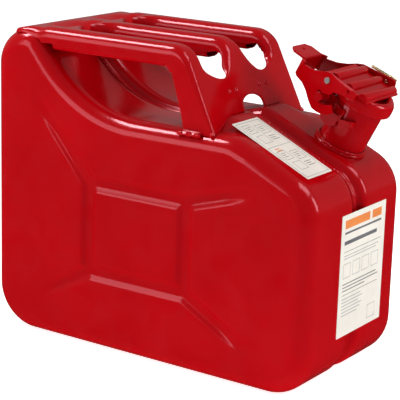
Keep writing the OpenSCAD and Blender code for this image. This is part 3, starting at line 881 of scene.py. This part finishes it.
def deck_label():
    a = math.atan(DECK_FALL)
    origin = Vector((76, -58, deck(76)))
    down = Vector((math.cos(a), 0, -math.sin(a)))
    grey = box_outline(2.5, 38, 2.5, 82.5, 0.35) + [(2.5, 38, 39, 39.4)]
    pale = []
    for k in range(2):
        base = 6 + k * 40
        pale += box_outline(6, 18, base, base + 12, 0.4) + box_outline(22, 34, base + 3, base + 15, 0.4)
        pale += box_outline(8, 20, base + 16, base + 27, 0.4) + lines_of(23, [10, 8, 11], base + 19, 2.6, 0.7)
        pale += lines_of(8.5, [7, 5, 6], base + 3, 2.4, 0.6) + lines_of(24.5, [7, 6, 5], base + 6, 2.4, 0.6)
    marks = [(INK, grey + pale), (INK_WARM, [(9, 15, 42, 43.2), (9, 17, 44.6, 45.8)])]
    return label("deck_label_paper", "deck_label", origin, Vector((0, 1, 0)), down, 40.5, 85.0, marks)


# ---------------------------------------------------------------- studio

def studio():
    floor = bpy.data.meshes.new("floor")
    floor.from_pydata([(-6, -6, 0), (6, -6, 0), (6, 6, 0), (-6, 6, 0)], [], [(0, 1, 2, 3)])
    floor = bpy.data.objects.new("floor", floor)
    bpy.context.scene.collection.objects.link(floor)
    material, tree, bsdf = shader("floor_pale")
    grain = noise_node(tree, 3.0)
    colour = ramp_node(tree, grain.outputs["Fac"], [(0.3, (0.90, 0.90, 0.90)), (0.7, (0.93, 0.93, 0.93))])
    tree.links.new(colour.outputs["Color"], bsdf.inputs["Base Color"])
    bsdf.inputs["Roughness"].default_value = 0.9
    bsdf.inputs["Specular IOR Level"].default_value = 0.1
    bsdf.inputs["Emission Color"].default_value = (1, 1, 1, 1)
    bsdf.inputs["Emission Strength"].default_value = 0.85
    floor.data.materials.append(material)
    floor.visible_glossy = False

    world = bpy.data.worlds.new("studio")
    bpy.context.scene.world = world
    world.use_nodes = True
    tree = world.node_tree
    coords = tree.nodes.new("ShaderNodeTexCoord")
    split = tree.nodes.new("ShaderNodeSeparateXYZ")
    tree.links.new(coords.outputs["Generated"], split.inputs["Vector"])
    level = range_node(tree, split.outputs["Z"], 0.0, 1.0, -0.25, 0.6)
    greys = ((0.0, 0.05), (0.28, 0.2), (0.36, 0.5), (1.0, 0.5))
    sky = ramp_node(tree, level.outputs["Result"], [(at, (grey, grey, grey)) for at, grey in greys])
    tree.links.new(sky.outputs["Color"], tree.nodes["Background"].inputs["Color"])
    tree.nodes["Background"].inputs["Strength"].default_value = 0.42


def softbox(name, at, aim, size, power):
    light = bpy.data.lights.new(name, "AREA")
    light.shape = "RECTANGLE"
    light.size, light.size_y = size
    light.energy = power
    lamp = bpy.data.objects.new(name, light)
    bpy.context.scene.collection.objects.link(lamp)
    lamp.location = at
    lamp.rotation_mode = "QUATERNION"
    lamp.rotation_quaternion = (Vector(aim) - Vector(at)).to_track_quat("-Z", "Y")
    return lamp


def camera():
    """Looks from the front left, a little above, slightly rolled."""
    azimuth, elevation, roll = math.radians(33.87), math.radians(14.80), math.radians(1.79)
    distance, focal = 1.41055, 137.97
    target = Vector((0.00711, 0.0, 0.13587))
    flat = math.cos(elevation)
    back = Vector((math.sin(azimuth) * flat, -math.cos(azimuth) * flat, math.sin(elevation)))
    right = Vector((math.cos(azimuth), math.sin(azimuth), 0))
    up = back.cross(right)
    right2 = right * math.cos(roll) + up * math.sin(roll)
    up2 = up * math.cos(roll) - right * math.sin(roll)
    data = bpy.data.cameras.new("camera")
    data.lens = focal
    data.sensor_width = 36
    data.clip_end = 50
    cam = bpy.data.objects.new("camera", data)
    bpy.context.scene.collection.objects.link(cam)
    at = target + back * distance
    cam.matrix_world = Matrix((
        (right2.x, up2.x, back.x, at.x),
        (right2.y, up2.y, back.y, at.y),
        (right2.z, up2.z, back.z, at.z),
        (0, 0, 0, 1),
    ))
    bpy.context.scene.camera = cam


# ---------------------------------------------------------------- build

pressed_half("right_half", "right_shell", -1)
pressed_half("left_half", "left_shell", 1)
seam_bead()
handle_pressing()
grip_troughs()
foot_tabs()
web_spots()
neck_tube()
neck_collar()
cap_shell()
front_label()
deck_label()
for node in ("hinge_bracket", "neck_side_lugs", "cap_carrier", "lever"):
    carry(node, RED, 0.45)
carry("hinge_pin", RED, 0.4)
for node in ("breather_tube", "gasket_retainer", "cap_rivet", "lever_spacers"):
    carry(node, ZINC, 0.2)
carry("lever_pin", ZINC, 0.5)
carry("safety_pin", GOLD_ZINC, 0.0)
carry("cap_gasket", RUBBER, 0.4)
studio()
softbox("key_overhead", (-0.75, -0.35, 1.25), (0, 0, 0.2), (0.3, 0.5), 11)
softbox("fill_left", (-1.1, -2.0, 0.8), (0, 0, 0.12), (1.2, 1.1), 12.8)
softbox("front_right", (1.9, 0.8, 1.0), (0.1, 0, 0.15), (0.6, 1.0), 13)
softbox("top_front", (0.9, 0.3, 1.7), (0.08, 0, 0.2), (0.9, 0.9), 14)
bpy.context.scene.view_settings.view_transform = "Standard"
camera()
